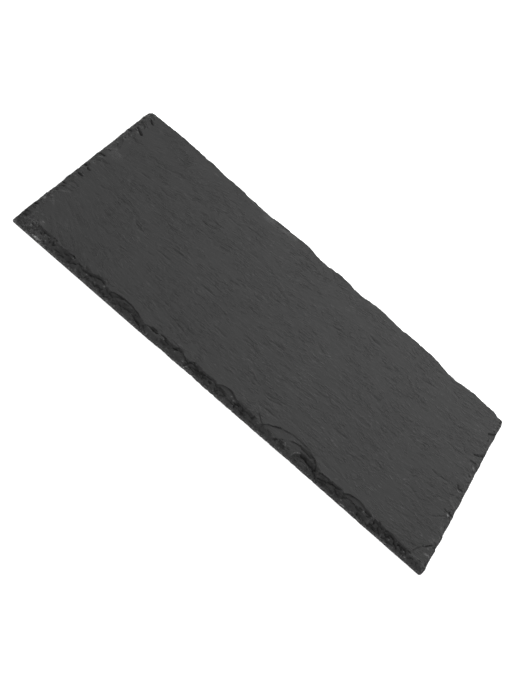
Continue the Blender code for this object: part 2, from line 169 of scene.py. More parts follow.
# Open cracks and undercut slashes: the points along it, the half width, the depth, and how far the floor then takes to come back
# up on the near side. A long way back makes a scoop with one steep side.
GASHES = [
    # left edge
    ([(-144.5, 64.5), (-142.9, 63.0), (-140.7, 61.4)], 0.50, 2.0, 0.15),
    ([(-148.4, 62.6), (-147.2, 62.0)], 0.44, 1.4, 0.2),
    ([(-148.0, 55.0), (-145.4, 54.6)], 0.28, 0.6, 0.4),
    ([(-146.1, 51.6), (-143.8, 49.3), (-140.2, 46.7)], 0.52, 2.5, 0.1),
    ([(-148.3, 52.6), (-147.0, 51.8)], 0.36, 1.0, 0.2),
    ([(-148.4, 44.4), (-145.7, 44.3)], 0.50, 1.8, 0.1),
    ([(-146.4, 37.6), (-143.1, 39.6), (-138.6, 39.0)], 0.54, 0.40, 1.6),
    ([(-148.4, 27.2), (-145.4, 26.6)], 0.40, 0.5, 0.6),
    ([(-148.2, 9.2), (-144.2, 10.2)], 0.58, 2.2, 0.1),
    ([(-147.2, 2.2), (-143.7, 4.3), (-140.4, 6.4)], 0.56, 0.36, 1.6),
    ([(-148.5, -5.2), (-146.5, -6.2)], 0.62, 2.6, 0.1),
    ([(-145.8, -7.7), (-142.8, -8.2)], 0.56, 2.4, 0.1),
    ([(-147.0, -16.3), (-142.8, -15.5)], 0.56, 2.2, 0.1),
    ([(-148.5, -30.0), (-146.0, -29.2)], 0.48, 1.7, 0.1),
    ([(-147.4, -33.4), (-144.8, -31.6)], 0.40, 1.2, 0.2),
    ([(-143.5, -29.1), (-139.9, -27.8)], 0.50, 0.30, 1.4),
    ([(-147.6, -38.6), (-145.4, -37.9)], 0.34, 0.6, 0.6),
    ([(-148.3, -46.4), (-146.4, -46.0)], 0.31, 0.5, 0.5),
    ([(-148.2, -51.8), (-146.6, -52.3)], 0.44, 1.2, 0.2),
    ([(-148.6, -58.0), (-146.9, -56.6)], 0.60, 2.2, 0.1),
    ([(-148.2, -61.2), (-145.8, -60.8)], 0.30, 0.6, 0.5),
    # right edge
    ([(147.8, 54.6), (145.4, 51.6), (143.0, 50.1)], 0.37, 1.36, 0.6),
    ([(145.9, 44.9), (144.9, 44.4)], 0.31, 0.85, 0.5),
    ([(147.4, 31.8), (144.4, 28.4), (141.3, 26.3)], 0.33, 0.94, 1.4),
    ([(146.2, 21.0), (143.6, 20.6), (141.0, 19.8)], 0.37, 0.59, 3.6),
    ([(147.6, 13.0), (144.6, 12.6)], 0.31, 0.42, 3.0),
    ([(146.8, -5.0), (143.9, -5.6), (142.0, -3.0)], 0.37, 0.77, 2.4),
    ([(147.4, -12.4), (143.4, -12.6), (140.6, -15.0)], 0.41, 0.38, 8.0),
    ([(148.2, -26.2), (146.6, -26.7), (144.6, -26.4)], 0.37, 1.27, 0.8),
    ([(144.6, -27.3), (141.4, -27.0)], 0.26, 0.42, 0.8),
    ([(144.4, -30.6), (141.0, -34.6), (137.0, -38.8)], 0.28, 0.34, 0.9),
    ([(148.2, -37.6), (146.4, -38.0)], 0.31, 0.68, 1.5),
    ([(148.4, -46.2), (146.6, -46.6)], 0.31, 0.59, 1.6),
    ([(148.3, -53.6), (146.8, -54.0)], 0.31, 0.59, 0.8),
    ([(145.8, -55.8), (144.8, -56.8), (142.0, -60.8)], 0.30, 0.80, 0.6),
    ([(142.0, -60.8), (140.4, -62.6), (138.4, -65.8), (136.6, -69.6)], 0.26, 0.38, 0.6),
    # near edge, over the broken band
    ([(-148.6, -68.2), (-143.0, -67.4), (-138.0, -67.6)], 0.35, 0.7, 0.8),
    ([(-144.0, -70.6), (-139.4, -71.2), (-136.6, -70.0)], 0.35, 0.7, 0.9),
    ([(-137.8, -68.6), (-134.0, -69.4), (-130.4, -69.2)], 0.40, 0.8, 0.9),
    ([(-130.2, -68.9), (-125.4, -69.7)], 0.60, 0.7, 2.2),
    ([(-124.6, -72.8), (-121.4, -70.0)], 0.35, 0.7, 0.8),
    ([(-120.6, -72.4), (-115.6, -72.8)], 0.42, 1.0, 0.8),
    ([(-112.2, -72.7), (-109.2, -73.1)], 0.50, 1.4, 0.6),
    ([(-110.4, -74.5), (-106.8, -74.4)], 0.45, 1.4, 0.5),
    ([(-103.0, -69.4), (-98.0, -70.4), (-92.0, -71.2)], 0.70, 0.7, 2.4),
    ([(-105.6, -73.6), (-101.6, -73.2)], 0.35, 0.8, 0.7),
    ([(-95.4, -69.4), (-91.0, -67.4)], 0.45, 0.9, 1.2),
    ([(-92.6, -72.1), (-86.4, -72.7)], 0.50, 1.5, 0.6),
    ([(-88.8, -73.7), (-82.0, -73.9)], 0.55, 1.6, 0.5),
    ([(-86.8, -70.5), (-83.4, -71.7), (-80.4, -71.1), (-75.0, -68.6)], 0.42, 1.0, 1.2),
    ([(-75.4, -72.5), (-68.7, -71.3), (-63.5, -72.0), (-60.9, -73.1), (-57.6, -73.7)], 0.42, 1.2, 1.0),
    ([(-64.4, -72.2), (-58.6, -73.4)], 0.60, 1.7, 0.5),
    ([(-60.0, -74.2), (-51.6, -74.4)], 0.45, 1.3, 0.6),
    ([(-43.2, -70.9), (-39.4, -71.5), (-35.8, -71.1), (-33.8, -69.5), (-31.0, -69.4)], 0.42, 1.1, 1.2),
    ([(-43.0, -73.3), (-39.0, -73.0)], 0.60, 0.9, 1.2),
    ([(-22.8, -69.6), (-17.6, -70.8), (-13.4, -71.0), (-6.6, -70.4)], 0.42, 1.1, 1.1),
    ([(-22.0, -74.2), (-14.0, -74.4)], 0.45, 1.3, 0.6),
    ([(-13.4, -74.2), (-1.0, -74.4)], 0.42, 1.2, 0.7),
    ([(-14.2, -70.4), (-13.2, -73.6)], 0.45, 1.0, 0.6),
    ([(-5.2, -72.6), (-2.2, -74.0)], 0.60, 1.6, 0.6),
    ([(9.6, -71.4), (9.8, -74.4)], 0.45, 1.3, 0.5),
    ([(13.2, -73.2), (18.2, -73.0)], 0.48, 1.3, 0.7),
    ([(10.0, -70.2), (16.0, -71.0), (24.0, -71.6)], 0.38, 0.8, 1.0),
    ([(20.4, -73.8), (27.2, -73.6)], 0.40, 1.1, 0.7),
    ([(22.0, -66.2), (25.9, -70.0), (29.9, -72.3)], 0.34, 0.5, 0.6),
    ([(31.4, -71.2), (33.4, -72.4), (35.4, -72.9)], 0.30, 0.7, 0.4),
    ([(34.2, -73.4), (36.4, -73.0)], 0.36, 1.2, 0.2),
    ([(36.8, -73.9), (38.6, -73.3), (39.6, -73.6)], 0.36, 1.3, 0.2),
    ([(42.2, -73.1), (43.8, -73.5)], 0.34, 1.2, 0.2),
    ([(45.4, -73.3), (46.8, -73.8)], 0.34, 1.2, 0.2),
    ([(48.4, -73.8), (50.2, -73.6)], 0.32, 1.1, 0.2),
    ([(27.0, -73.4), (31.0, -73.8), (36.0, -74.1)], 0.40, 1.2, 0.3),
    ([(40.6, -73.8), (43.6, -73.6), (47.4, -74.1), (50.4, -74.3)], 0.42, 1.5, 0.2),
    ([(53.0, -65.0), (57.4, -65.2), (61.6, -65.8)], 0.55, 0.9, 0.8),
    ([(54.7, -68.2), (58.6, -68.5), (62.9, -69.6), (68.7, -70.2)], 0.66, 2.8, 0.3),
    ([(68.0, -71.9), (72.0, -72.2)], 0.55, 1.4, 0.6),
    ([(63.2, -73.6), (71.4, -73.9)], 0.40, 1.1, 0.6),
    ([(68.4, -73.3), (73.2, -71.9), (78.3, -70.3), (85.6, -69.6)], 0.42, 1.7, 0.4),
    ([(99.4, -72.6), (102.4, -72.9), (105.8, -73.8)], 0.58, 2.8, 0.2),
    ([(102.6, -68.5), (107.6, -70.4)], 0.60, 1.4, 0.8),
    ([(109.6, -69.2), (111.4, -71.6)], 0.40, 1.4, 0.3),
    ([(112.4, -68.9), (114.8, -70.8)], 0.38, 1.3, 0.3),
    ([(113.4, -71.6), (116.6, -72.8)], 0.46, 1.9, 0.2),
    ([(110.8, -73.0), (113.6, -74.2)], 0.48, 1.8, 0.2),
    ([(121.2, -70.6), (123.2, -72.4)], 0.40, 1.5, 0.2),
    ([(125.4, -72.4), (129.6, -73.9)], 0.48, 1.8, 0.2),
    ([(127.2, -70.9), (130.8, -71.9), (132.6, -73.2)], 0.38, 1.4, 0.3),
    ([(115.0, -70.4), (117.8, -70.9)], 0.50, 1.4, 0.7),
    ([(112.6, -73.1), (117.6, -73.4)], 0.50, 1.5, 0.5),
    ([(118.4, -71.4), (121.4, -73.0)], 0.50, 1.4, 0.6),
    ([(123.4, -70.3), (127.4, -71.7)], 0.45, 1.3, 0.8),
    ([(130.6, -73.9), (135.4, -74.3)], 0.45, 1.3, 0.5),
    ([(132.6, -70.3), (136.0, -73.0)], 0.40, 0.9, 0.8),
    ([(117.4, -71.4), (119.6, -70.2), (122.8, -69.9), (125.2, -71.2), (127.0, -73.2)], 0.40, 1.6, 0.2),
    ([(127.6, -72.6), (129.4, -71.2), (132.0, -71.0), (134.4, -72.0), (136.0, -73.6)], 0.38, 1.5, 0.2),
    ([(136.2, -73.8), (139.2, -72.8), (142.6, -72.2), (145.2, -72.8), (146.8, -74.3)], 0.34, 1.1, 0.2),
    # marks on the open top
    ([(-120.0, -21.6), (-118.4, -22.5), (-116.6, -21.7), (-114.0, -22.5)], 0.50, 0.30, 0.8),
    ([(-129.8, -52.6), (-124.6, -57.2)], 0.45, 0.24, 2.0),
    ([(-147.2, 36.2), (-144.8, 39.0), (-141.0, 39.6), (-137.4, 37.6)], 0.70, 0.42, 2.0),
    ([(-147.6, 1.8), (-144.6, 4.4), (-141.6, 4.9), (-138.6, 7.2)], 0.55, 0.40, 2.2),
    ([(-146.8, -26.4), (-143.0, -24.6), (-139.2, -25.6)], 0.60, 0.36, 2.0),
    ([(-146.4, -36.4), (-143.6, -32.4), (-139.6, -31.0)], 0.50, 0.26, 2.0),
    ([(-146.6, 58.2), (-143.4, 57.4), (-141.2, 55.2)], 0.42, 0.50, 0.8),
    ([(-147.2, 66.8), (-144.4, 67.2), (-142.6, 65.6)], 0.42, 0.50, 0.7),
    ([(-147.8, 47.6), (-145.0, 47.0)], 0.40, 0.60, 0.6),
    ([(-126.6, -6.6), (-121.0, -9.9), (-113.4, -8.4), (-107.0, -10.2)], 0.60, 0.24, 1.8),
    ([(-133.0, -12.4), (-129.6, -11.6), (-125.4, -8.2)], 0.45, 0.28, 1.0),
    ([(-131.0, -20.6), (-128.4, -18.8)], 0.42, 0.30, 0.7),
    ([(-123.4, 8.8), (-119.4, 8.0), (-115.2, 12.4)], 0.42, 0.26, 1.0),
    ([(-103.2, -15.2), (-99.2, -17.8), (-95.0, -18.0)], 0.42, 0.30, 0.9),
    ([(-108.2, 21.2), (-102.6, 20.2), (-98.2, 21.8)], 0.45, 0.26, 1.0),
    ([(-117.8, -38.2), (-112.4, -37.0), (-107.2, -38.8)], 0.45, 0.24, 1.2),
    ([(-98.4, -40.2), (-92.4, -38.6)], 0.42, 0.30, 0.7),
    ([(-91.2, 2.2), (-86.8, 1.0), (-82.6, 2.0)], 0.42, 0.28, 0.9),
    ([(-86.4, -28.6), (-81.2, -27.4)], 0.40, 0.28, 0.7),
    ([(-72.6, 30.4), (-67.0, 31.4), (-63.6, 30.4)], 0.42, 0.26, 0.9),
    ([(-124.6, 38.4), (-119.2, 37.0)], 0.42, 0.26, 0.8),
]

# Pale bruises and flecks, and broad soft patches of painted light over the shaded riser and band at the near left
# corner and on the far rim: X, Y or height up the broken edge as below, half length, half width, turn in degrees,
# strength.
# The near edge is measured up its broken face: 0 at the foot, about 5 at the arris.
PALE_AND_PAINTED_LIGHT_NEAR = [
    (-140.0, 7.9, 6.4, 2.4, 0, 0.34),
    (-139.5, 3.6, 11.5, 5.6, 0, 0.145), (-131.5, 2.4, 3.8, 1.8, 0, 0.20), (-139.0, 5.0, 1.8, 0.9, 0, 0.34),
    (-133.6, 1.8, 3.6, 0.6, 4, 2.2), (-128.0, 1.2, 1.2, 0.4, 0, 0.5), (-140.3, 5.6, 0.9, 0.5, 0, 0.7), (-138.0, 7.6, 1.1, 0.5, 10, 0.5),
    (-141.4, 8.2, 0.7, 0.4, 0, 0.5), (-123.8, 6.1, 0.7, 0.45, 0, 0.5), (-110.4, 6.8, 1.0, 0.6, 0, 0.55), (-99.5, 4.6, 0.8, 0.45, 0, 0.55),
    (-87.8, 6.2, 0.9, 0.6, 40, 0.55), (-81.6, 0.9, 0.8, 0.6, 0, 0.9), (-98.6, 1.2, 1.6, 0.5, 0, 0.35), (-44.2, 5.5, 1.2, 0.50, 0, 0.8),
    (-45.8, 3.8, 0.8, 0.5, 60, 0.5), (-28.2, 3.4, 0.9, 0.5, 0, 0.55), (-24.7, 2.5, 0.6, 0.6, 0, 1.0), (-25.6, 1.3, 0.6, 0.4, 0, 0.7),
    (-17.6, 5.4, 0.9, 0.6, 20, 0.5), (-21.2, 6.9, 0.7, 0.5, 0, 0.3), (5.1, 6.5, 0.7, 0.45, 30, 0.45), (7.6, 5.5, 1.0, 0.5, 30, 0.5),
    (16.4, 5.7, 0.8, 0.4, 0, 0.4), (2.2, 2.0, 0.7, 0.4, 0, 0.35), (44.3, 6.7, 0.32, 0.32, 0, 0.7), (45.0, 5.8, 0.36, 0.36, 0, 0.6),
    (43.8, 4.9, 0.3, 0.3, 0, 0.4), (51.0, 4.2, 0.8, 0.26, 78, 0.45), (51.7, 5.7, 0.9, 0.26, 64, 0.6), (53.2, 7.0, 0.9, 0.26, 38, 0.7), (55.0, 7.7, 0.9, 0.26, 14, 0.5), (91.0, 1.4, 1.9, 0.55, 0, 0.7), (96.6, 1.6, 0.7, 0.6, 45, 0.4),
    (102.4, 6.2, 0.8, 0.7, -50, 0.45), (109.4, 5.2, 0.6, 0.5, 0, 0.35), (122.8, 4.0, 0.7, 0.5, 0, 0.6), (122.2, 0.9, 0.9, 0.45, 0, 0.6),
    (135.7, 2.7, 0.7, 0.5, 0, 0.8), (133.6, 2.2, 0.5, 0.5, 0, 0.5), (127.0, 2.0, 0.7, 0.4, 0, 0.3), (-64.0, 1.2, 1.0, 0.4, 0, 0.35),
    (-76.6, 1.6, 0.6, 0.8, 20, 0.35), (-2.0, 0.8, 0.9, 0.35, 0, 0.3), (28.6, 1.2, 0.7, 0.4, 0, 0.3),
]
PALE_AND_PAINTED_LIGHT_TOP = [
    (142.6, -71.7, 4.6, 1.3, 0, 0.17), (146.4, -72.6, 2.4, 1.2, 0, 0.12), (145.2, 65.4, 3.2, 4.0, 0, 0.07), (148.9, 64.4, 1.5, 4.6, 0, 0.34), (-136.6, -65.6, 2.6, 1.4, -30, 0.08),
    (-46.0, 67.6, 6.4, 3.0, 10, 0.19), (-34.6, 68.8, 5.0, 1.8, 8, 0.20), (-28.0, 69.8, 3.0, 1.2, -15, 0.20), (37.2, 70.8, 2.6, 1.0, 0, 0.24),
    (-141.6, 17.4, 5.6, 4.4, 20, 0.11), (-140.5, 13.0, 3.0, 2.0, 30, 0.06),
    (-146.8, 28.0, 0.9, 0.5, 40, 0.45), (-143.8, 21.2, 1.4, 0.7, 40, 0.35), (-145.4, 33.4, 0.8, 0.5, 0, 0.3), (-139.0, 18.6, 1.2, 0.6, 30, 0.22),
    (-146.0, 7.2, 1.6, 0.5, 35, 0.4), (-143.4, -35.6, 3.2, 0.6, 42, 0.18), (-147.4, -49.7, 0.7, 0.9, 0, 0.55), (-142.8, -47.2, 3.0, 0.35, -50, 0.28),
    (-137.0, -64.9, 0.8, 0.5, 0, 0.4), (-127.2, -55.0, 2.9, 0.5, -42, 0.2), (-145.2, 69.6, 0.9, 0.5, 0, 0.35), (-142.8, 57.4, 0.8, 0.4, 0, 0.3),
    (-147.4, -41.6, 0.6, 0.9, 0, 0.35), (-140.4, -61.0, 0.7, 0.5, 0, 0.25), (-133.8, 61.6, 0.8, 0.35, -40, 0.2),
    (145.6, -29.0, 1.0, 0.7, -40, 1.0), (147.4, -31.6, 0.6, 0.6, 0, 0.6), (146.0, -41.6, 0.9, 0.6, 0, 0.5), (147.3, -46.9, 0.6, 0.7, 0, 0.5),
    (147.6, -50.8, 0.6, 0.6, 0, 0.5), (145.6, -64.4, 2.2, 0.8, 10, 0.5), (142.1, -71.0, 0.6, 0.4, 0, 0.3), (144.8, -7.6, 2.0, 0.5, -25, 0.45),
    (146.6, -20.4, 1.2, 0.5, -60, 0.3), (143.2, -18.0, 1.6, 0.9, -45, 0.16), (146.0, 17.0, 1.5, 0.8, -45, 0.45), (142.6, 0.6, 0.7, 0.5, 0, 0.3),
    (146.6, 2.4, 0.6, 0.6, 0, 0.4), (135.4, 49.4, 1.4, 0.4, 0, 0.3), (133.2, 47.4, 0.5, 0.9, 0, 0.3), (138.2, 47.2, 0.5, 0.9, 0, 0.3),
    (135.6, 45.2, 1.4, 0.4, 0, 0.25), (145.9, 57.4, 0.6, 0.5, 0, 0.3), (147.0, 39.6, 0.5, 0.6, 0, 0.3), (146.8, 44.0, 0.5, 0.5, 0, 0.35),
    (146.4, 10.8, 0.6, 0.5, 0, 0.3), (145.2, -51.6, 1.2, 0.8, 30, 0.22), (137.4, -55.4, 0.9, 0.5, 0, 0.2), (144.4, -54.6, 0.8, 0.4, 40, 0.25),
]


# ---------------------------------------------------------------- shape


def smooth(t):
    t = np.clip(t, 0.0, 1.0)
    return t * t * (3.0 - 2.0 * t)


def lattice(ix, iy, seed):
    """One repeatable number from 0 to 1 for each whole-number point."""
    n = (ix.astype(np.int64) * 374761393 + iy.astype(np.int64) * 668265263 + seed * 1442695041) & 0xFFFFFFFF
    n = ((n ^ (n >> 13)) * 1274126177) & 0xFFFFFFFF
    return ((n ^ (n >> 16)) & 0xFFFFFF) / float(0xFFFFFF)


def ripple(x, y, seed):
    """Gradient noise over the plane, about -1 to 1."""
    x, y = np.broadcast_arrays(np.asarray(x, float), np.asarray(y, float))
    ix, iy = np.floor(x), np.floor(y)
    fx, fy = x - ix, y - iy
    wx = fx * fx * fx * (fx * (fx * 6.0 - 15.0) + 10.0)
    wy = fy * fy * fy * (fy * (fy * 6.0 - 15.0) + 10.0)

    def corner(dx, dy):
        turn = lattice(ix + dx, iy + dy, seed) * 2.0 * np.pi
        return np.cos(turn) * (fx - dx) + np.sin(turn) * (fy - dy)

    near = corner(0, 0) * (1.0 - wx) + corner(1, 0) * wx
    far = corner(0, 1) * (1.0 - wx) + corner(1, 1) * wx
    return 1.5 * (near * (1.0 - wy) + far * wy)


def from_edges(x, y):
    return {
        "N": (x, y + WIDTH / 2),
        "F": (x, WIDTH / 2 - y),
        "L": (y, x + LENGTH / 2),
        "R": (y, LENGTH / 2 - x),
    }


def facets(x, y, seed):
    """A crumpled surface of flat triangular facets, -1 to 1."""
    x, y = np.broadcast_arrays(np.asarray(x, float), np.asarray(y, float))
    skew = (x + y) * 0.3660254
    i, j = np.floor(x + skew), np.floor(y + skew)
    fx, fy = x + skew - i, y + skew - j
    first = fx > fy
    a = 2.0 * lattice(i, j, seed) - 1.0
    b = 2.0 * lattice(i + first, j + ~first, seed) - 1.0
    c = 2.0 * lattice(i + 1, j + 1, seed) - 1.0
    most, least = np.maximum(fx, fy), np.minimum(fx, fy)
    return a * (1.0 - most) + b * (most - least) + c * least


def wall_lean(s, side):
    """How far in from the outline the head of the wall stands."""
    seed = ord(side) + 20
    return WALL[side] + 0.26 * facets(s / 3.6, 2.5, seed) + 0.15 * facets(s / 1.3, 6.5, seed)


def rim_height(s, side):
    seed = ord(side)
    rim = RIM[side] * (1.0 + 0.30 * facets(s / 5.5, 8.5, seed) + 0.12 * facets(s / 1.7, 3.5, seed))
    if side == "N":
        rim = rim - 0.9 * smooth((-128.0 - s) / 8.0)
    return rim


def bevel(s, d, side):
    """The broken bevel along an edge: a small riser under the arris, then a facet that falls to the head of the wall."""
    seed = ord(side)
    places, widths = zip(*ARRIS[side])
    wide = np.interp(s, places, widths)
    wide = wide * (1.0 + 0.10 * facets(s / 2.2, 0.5, seed)) + 0.18 * facets(s / 1.1, 4.5, seed)
    rim = rim_height(s, side)
    riser = (0.50 if side == "N" else 0.24) + (0.55 if side == "N" else 0.35) * np.clip(facets(s / 4.0, 2.5, seed + 1), -0.6, 1.0)
    inside = wide - d
    share = np.clip(inside / np.maximum(wide - wall_lean(s, side), 0.3), 0.0, 1.15)
    low = THICKNESS - riser * smooth(inside / 0.20) - (THICKNESS - riser - rim) * share ** (1.0 + 0.35 * ripple(s / 9.0, 1.5, seed + 2))
    low = low - trench(s, inside, 1.30 if side == "N" else 0.35, seed + 3)
    return np.where(inside > 0.0, low, THICKNESS)


def trench(s, inside, deep, seed):
    """The narrow open line that runs in places along the foot of a riser."""
    come = smooth(0.45 + 1.5 * ripple(s / 6.5, 0.5, seed))
    return deep * come * np.exp(-(((inside - 0.32) / 0.15) ** 2))


def scar(s, d, at, half, reach, riser, rim, lean):
    """The surface that one flake left: an arched arris, a riser under it, and a tread that falls to the outline."""
    across = np.abs((s - at - lean * d) / half)
    arch = reach * np.clip(1.0 - across**2.2, 0.0, 1.0) ** 0.7
    inside = arch - d
    drop = riser * smooth(inside / (0.16 + 0.22 * riser))
    fall = np.clip(inside / np.maximum(arch, 0.3), 0.0, 1.0) ** 1.3
    low = THICKNESS - drop - (THICKNESS - riser - rim) * fall - trench(s, inside, 0.75 if riser >= 0.5 else 0.12, int(abs(at)) + 7)
    return np.where(inside > 0.0, low, THICKNESS)


def chips(s, d, side):
    """Small scoops all along the dressed edge, each with a crisp rim, from a seeded generator."""
    long = LENGTH if side in "NF" else WIDTH
    rng = np.random.default_rng({"N": 11, "F": 12, "L": 13, "R": 14}[side])
    cut = np.zeros(np.shape(s))
    order = np.argsort(s)
    sorted_s = s[order]
    for _ in range(int(long * 0.9)):
        at = rng.uniform(-long / 2, long / 2)
        deep = rng.uniform(0.0, 1.0) ** 1.2 * (6.0 if side == "N" else 4.0)
        a = rng.uniform(0.5, 2.0)
        b = a * rng.uniform(0.25, 0.5)
        turn = rng.normal(0.0, 0.35)
        depth = 0.17 * a * rng.uniform(0.4, 1.2)
        here = order[np.searchsorted(sorted_s, at - a) : np.searchsorted(sorted_s, at + a)]
        u = (s[here] - at) * math.cos(turn) + (d[here] - deep) * math.sin(turn)
        v = -(s[here] - at) * math.sin(turn) + (d[here] - deep) * math.cos(turn)
        cut[here] += depth * np.clip(1.0 - (u / a) ** 2 - (v / b) ** 2, 0.0, 1.0)
    return cut


def steps(z, thick, sharp):
    """Turns a slope into cleavage steps, each so thick."""
    k = z / thick
    whole = np.floor(k)
    return thick * (whole + smooth((k - whole - 0.5) / sharp + 0.5))


def grain_lines(x, y):
    """Coordinates along and across the slate's grain. It runs with the length, rises a little to the right in the middle, and
    fans out from the left end."""
    left = np.log1p(np.exp((-92.0 - x) / 8.0))
    going = x - 15.0 * np.log1p(np.exp((x - 60.0) / 15.0))
    spread = np.exp(-0.0027 * going + 0.09 * left)
    run = 0.16 * going + 1.3 * np.sin((x - 22.0) / 16.55)
    return x, (y - 5.0) * spread - run, spread


def grooves(x, y):
    """Thin broken grooves and small steps along the grain, from a seeded generator: how far they cut down."""
    g, h, spread = grain_lines(x, y)
    h = h + 1.5 * ripple(x / 14.0, y / 11.0, 71) + 0.85 * ripple(x / 4.2, y / 4.2, 72)
    order = np.argsort(h)
    sorted_h = h[order]
    cut = np.zeros(len(x))
    rng = np.random.default_rng(23)
    for _ in range(3000):
        at_g = rng.uniform(-LENGTH / 2, LENGTH / 2)
        at_h = rng.uniform(-190.0, 170.0)
        strong = rng.uniform() ** 1.9
        half = 0.7 + 1.8 * rng.uniform() ** 2.0 + 8.0 * strong * rng.uniform() ** 1.5
        wide = rng.uniform(0.36, 0.78)
        depth = (0.05 + 0.21 * strong) * wide / 0.5
        kind = rng.uniform()
        drift = rng.normal(0.0, 0.12)
        first, last = np.searchsorted(sorted_h, (at_h - 6.0, at_h + 6.0))
        if first == last:
            continue
        here = order[first:last]
        along = (g[here] - at_g) / half
        keep = np.abs(along) < 1.0
        here, along = here[keep], along[keep]
        off = (h[here] - at_h) / spread[here] - drift * (g[here] - at_g)
        fade = smooth((1.0 - np.abs(along)) * 2.5)
        if kind < 0.50:
            shape = np.exp(-((off / wide) ** 2))
        elif kind < 0.82:
            shape = 0.9 * np.where(off > 0.0, np.exp(-((off / (0.7 * wide)) ** 2)), np.exp(off / (2.4 * wide)))
        else:
            shape = 0.9 * np.where(off < 0.0, np.exp(-((off / (0.7 * wide)) ** 2)), np.exp(-off / (2.4 * wide)))
        cut[here] = np.maximum(cut[here], depth * shape * fade)
    return cut * (0.10 + 1.15 * smooth(0.45 + 1.8 * ripple(x / 20.0, y / 12.0, 66))) * (1.0 - 0.4 * smooth((-122.0 - x) / 14.0))


def cleft(x, y):
    """How far the natural cleft face lies under its highest level."""
    g, h, _ = grain_lines(x, y)
    wave = 0.06 * ripple(x / 70.0, y / 38.0, 61) + 0.05 * ripple(g / 22.0, h / 9.0, 62) + 0.05 * ripple(g / 7.0, h / 2.8, 63)
    grit = 0.012 * ripple(g / 3.0, h / 1.1, 65) + 0.014 * ripple(x / 1.6, y / 0.9, 64)
    return np.clip(0.10 - wave + grit + grooves(x, y), 0.0, 0.8)


def gashes(x, y):
    """How deep the gashes cut: steep on the far side, and on the near side back up over their own length."""
    cut = np.zeros(len(x))
    for line, wide, depth, back in GASHES + LITTLE:
        (xs, ys), pad = zip(*line), wide * 2.2
        here = np.flatnonzero((x > min(xs) - pad) & (x < max(xs) + pad) & (y > min(ys) - pad - back * 1.1) & (y < max(ys) + pad))
        if not len(here):
            continue
        px = x[here] + 0.30 * facets(x[here] / 2.2, y[here] / 2.2, 77) + 0.15 * facets(x[here] / 0.8, y[here] / 0.8, 78)
        py = y[here] + 0.30 * facets(x[here] / 2.4, y[here] / 2.4, 75) + 0.15 * facets(x[here] / 0.9, y[here] / 0.9, 76)
        best = np.full(len(here), 1e9)
        side = np.zeros(len(here))
        total = sum(math.dist(a, b) for a, b in zip(line, line[1:]))
        done, at = 0.0, np.zeros(len(here))
        for (x0, y0), (x1, y1) in zip(line, line[1:]):
            long = math.dist((x0, y0), (x1, y1))
            ux, uy = (x1 - x0) / long, (y1 - y0) / long
            along = np.clip((px - x0) * ux + (py - y0) * uy, 0.0, long)
            gap = np.hypot(px - x0 - along * ux, py - y0 - along * uy)
            nearer = gap < best
            best = np.where(nearer, gap, best)
            up = (py - y0 - along * uy) if abs(ux) > 0.35 else (px - x0 - along * ux)
            side = np.where(nearer, up, side)
            at = np.where(nearer, done + along, at)
            done += long
        ends = np.minimum(at, total - at)
        taper = smooth((ends + 0.35 * wide) / min(1.1, 0.4 * total + 0.2))
        crisp = np.exp(-((best / wide) ** 2.4))
        slow = np.clip(1.0 - best / (wide + back), 0.0, 1.0) ** 1.2
        shape = np.where(side < 0.0, np.maximum(crisp, 0.8 * slow), crisp)
        cut[here] = np.maximum(cut[here], depth * shape * taper)
    return cut


def little_gashes():
    """Many more small gashes of the same kind along the dressed edges, from a seeded generator."""
    made = []
    rng = np.random.default_rng(57)
    for _ in range(90):
        x, d = rng.uniform(-148.0, 149.0), rng.uniform(0.5, 4.6)
        half, turn = rng.uniform(0.8, 3.4), rng.normal(0.0, 0.28)
        dx, dy = half * math.cos(turn), half * math.sin(turn)
        y = -WIDTH / 2 + d
        made.append(([(x - dx, max(y - dy, -74.4)), (x + dx, max(y + dy, -74.3))], rng.uniform(0.22, 0.36), rng.uniform(0.45, 1.5), rng.uniform(0.3, 0.9)))
    for _ in range(45):
        x, y = rng.uniform(-147.0, -122.0), -WIDTH / 2 + rng.uniform(0.6, 7.0)
        half, turn = rng.uniform(0.4, 1.8), rng.normal(0.0, 0.5)
        dx, dy = half * math.cos(turn), half * math.sin(turn)
        made.append(([(x - dx, max(y - dy, -74.4)), (x + dx, max(y + dy, -74.3))], rng.uniform(0.24, 0.40), rng.uniform(0.7, 1.5), rng.uniform(0.1, 0.4)))
    for side, inner in ((-1, 4.5), (1, 3.8)):
        for _ in range(130 if side < 0 else 70):
            y, d = rng.uniform(-72.0, 70.0), 1.2 + inner * rng.uniform() ** 1.6
            half, turn = rng.uniform(0.2, 0.9), rng.normal(0.15, 0.8)
            dx, dy = half * math.cos(turn), half * math.sin(turn)
            x = side * (LENGTH / 2 - d)
            made.append(([(x - dx, y - dy), (x + dx, y + dy)], rng.uniform(0.20, 0.32), rng.uniform(0.2, 1.0), rng.uniform(0.3, 1.2)))
    return made


LITTLE = little_gashes()


